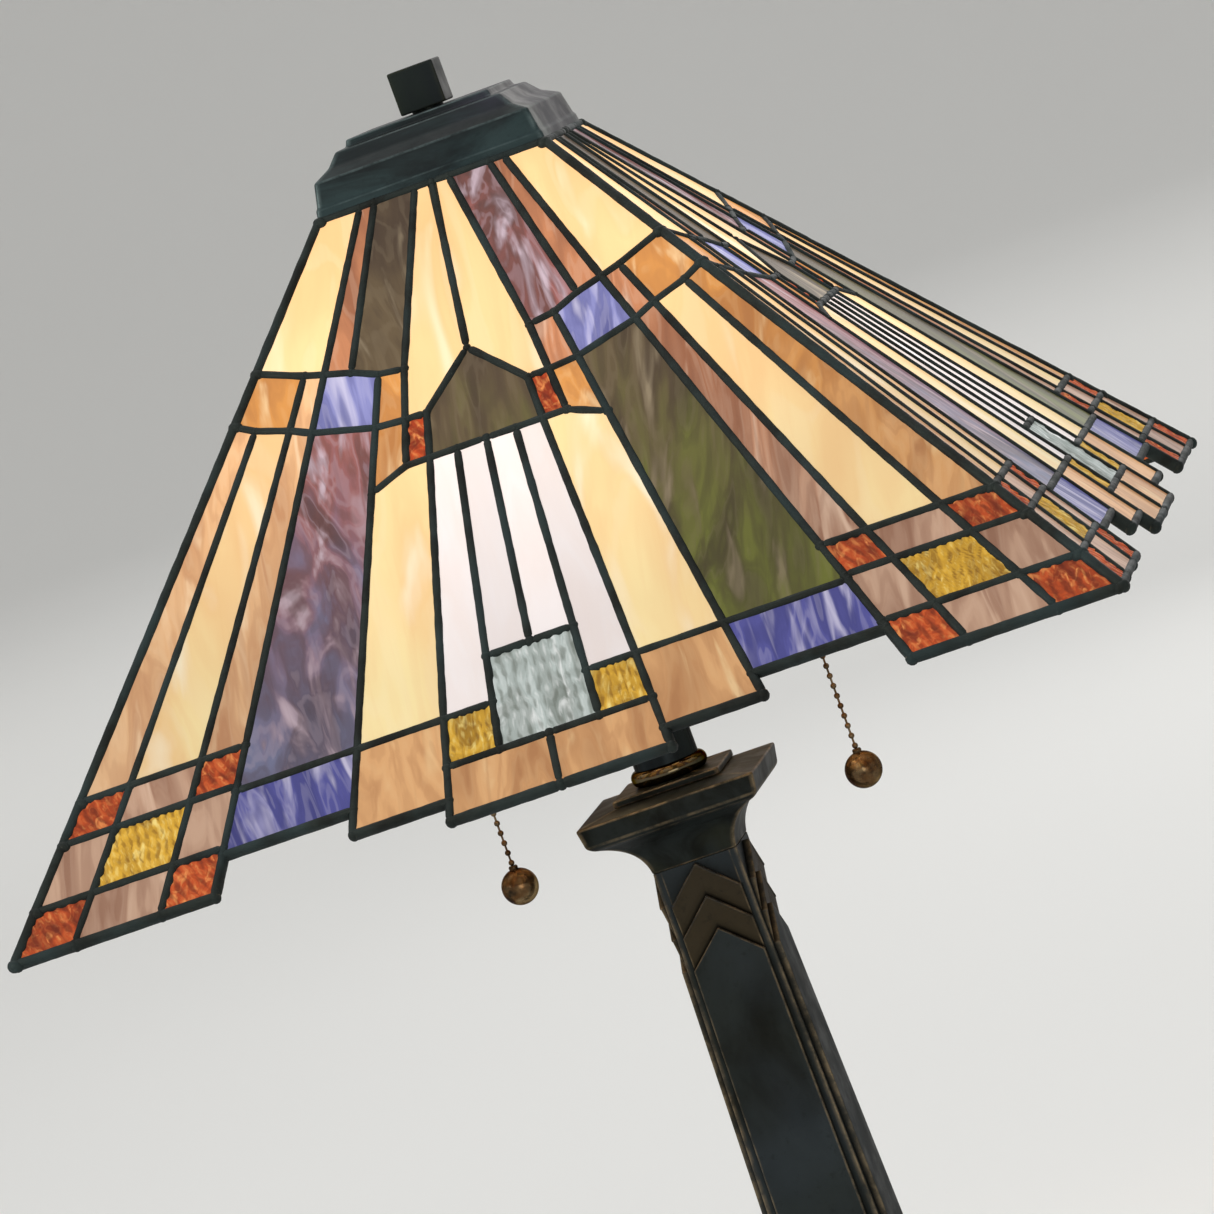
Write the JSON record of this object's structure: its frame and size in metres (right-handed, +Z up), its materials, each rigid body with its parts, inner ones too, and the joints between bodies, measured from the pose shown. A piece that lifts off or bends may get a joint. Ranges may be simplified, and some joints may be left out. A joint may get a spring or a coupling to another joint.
{
  "type": "stained glass table lamp",
  "caption": "Table lamp with a leaded glass pyramid shade of geometric panels, square bronze column, stepped base and two bead pull chains.",
  "frame": {"origin": "middle of the underside of the base's felt pad", "axes": "+Z up the column, front face of the shade towards -Y, one pull chain on each side along X"},
  "size_m": [0.4122, 0.4122, 0.635],
  "materials": {
    "felt": "dark green felt",
    "steel": "zinc plated",
    "iron": "raw cast",
    "bronze": "slate bronze patina, worn to copper on the edges",
    "cap_metal": "blue green bronze patina",
    "finial_metal": "dark green bronze patina",
    "antique_brass": "antique brass",
    "chain_brass": "dark antique brass",
    "phenolic": "moulded",
    "bushing": "moulded",
    "solder": "black patina on solder, slightly lumpy",
    "bulb_metal": "rolled thread",
    "bulb_glass": "frosted white",
    "glass_cream": "opalescent, wispy",
    "glass_white": "opalescent",
    "glass_tan": "opalescent, streaky",
    "glass_amber": "opalescent, streaky",
    "glass_mauve": "streaky mauve, maroon and blue grey",
    "glass_moss": "streaky moss green and brown",
    "glass_blue": "streaky blue and white",
    "glass_red_ripple": "rippled red orange",
    "glass_yellow_ripple": "rippled yellow",
    "glass_clear_ripple": "rippled clear"
  },
  "bodies": {
    "base": {"felt_pad": "felt", "cover_plate": "steel", "ballast": "iron", "plinth": "bronze", "cord_bushing": "bushing", "foot_block": "bronze", "shaft": "bronze", "capital": "bronze", "neck_plate": "bronze", "neck_ring": "bronze", "neck_tube": "bronze", "stem_pipe": "steel", "stem_washer": "steel", "stem_nut": "steel", "cluster_body": "antique_brass", "riser_coupling": "antique_brass", "riser_rod": "steel", "seat_nut": "steel", "seat_washer": "steel", "cluster_arm_left": "antique_brass", "socket_cap_left": "antique_brass", "socket_shell_left": "antique_brass", "socket_interior_left": "phenolic", "chain_guide_left": "antique_brass", "cluster_arm_right": "antique_brass", "socket_cap_right": "antique_brass", "socket_shell_right": "antique_brass", "socket_interior_right": "phenolic", "chain_guide_right": "antique_brass"},
    "shade": {"shade_collar": "cap_metal", "cap": "cap_metal", "hip_solder": "solder", "came_front": "solder", "came_right": "solder", "came_back": "solder", "came_left": "solder", "glass_cream": "glass_cream", "glass_white": "glass_white", "glass_tan": "glass_tan", "glass_amber": "glass_amber", "glass_mauve": "glass_mauve", "glass_moss": "glass_moss", "glass_blue": "glass_blue", "glass_red_ripple": "glass_red_ripple", "glass_yellow_ripple": "glass_yellow_ripple", "glass_clear_ripple": "glass_clear_ripple"},
    "finial": {"finial": "finial_metal"},
    "bulb_left": {"bulb_base_left": "bulb_metal", "bulb_globe_left": "bulb_glass"},
    "pull_left": {"pull_link_left": "chain_brass"},
    "chain_left": {"chain_upper_left": "chain_brass"},
    "ball_left": {"chain_lower_left": "chain_brass", "ball_pull_left": "chain_brass"},
    "bulb_right": {"bulb_base_right": "bulb_metal", "bulb_globe_right": "bulb_glass"},
    "pull_right": {"pull_link_right": "chain_brass"},
    "chain_right": {"chain_upper_right": "chain_brass"},
    "ball_right": {"chain_lower_right": "chain_brass", "ball_pull_right": "chain_brass"}
  },
  "joints": [
    {"name": "shade_turn", "type": "hinge", "parent": "base", "child": "shade", "pos_m": [0, 0, 0.5938], "axis": [0, 0, 1], "continuous": true},
    {"name": "finial_turn", "type": "hinge", "parent": "base", "child": "finial", "pos_m": [0, 0, 0.618], "axis": [0, 0, 1], "continuous": true},
    {"name": "left_bulb_turn", "type": "hinge", "parent": "base", "child": "bulb_left", "pos_m": [-0.046, 0, 0.4475], "axis": [0, 0, 1], "continuous": true},
    {"name": "left_pull", "type": "slide", "parent": "base", "child": "pull_left", "axis": [0, 0, -1], "range_m": [0, 0.01], "stiffness_N_per_m": 150, "springref_m": -0.004},
    {"name": "left_chain_swing", "type": "hinge", "parent": "pull_left", "child": "chain_left", "pos_m": [-0.068, 0, 0.4277], "axis": [0, 1, 0], "range_deg": [-10, 40]},
    {"name": "left_ball_swing", "type": "hinge", "parent": "chain_left", "child": "ball_left", "pos_m": [-0.068, 0, 0.3848], "axis": [1, 0, 0], "range_deg": [-35, 35]},
    {"name": "right_bulb_turn", "type": "hinge", "parent": "base", "child": "bulb_right", "pos_m": [0.046, 0, 0.4475], "axis": [0, 0, 1], "continuous": true},
    {"name": "right_pull", "type": "slide", "parent": "base", "child": "pull_right", "axis": [0, 0, -1], "range_m": [0, 0.01], "stiffness_N_per_m": 150, "springref_m": -0.004},
    {"name": "right_chain_swing", "type": "hinge", "parent": "pull_right", "child": "chain_right", "pos_m": [0.068, 0, 0.4277], "axis": [0, 1, 0], "range_deg": [-40, 10]},
    {"name": "right_ball_swing", "type": "hinge", "parent": "chain_right", "child": "ball_right", "pos_m": [0.068, 0, 0.3848], "axis": [1, 0, 0], "range_deg": [-35, 35]}
  ]
}
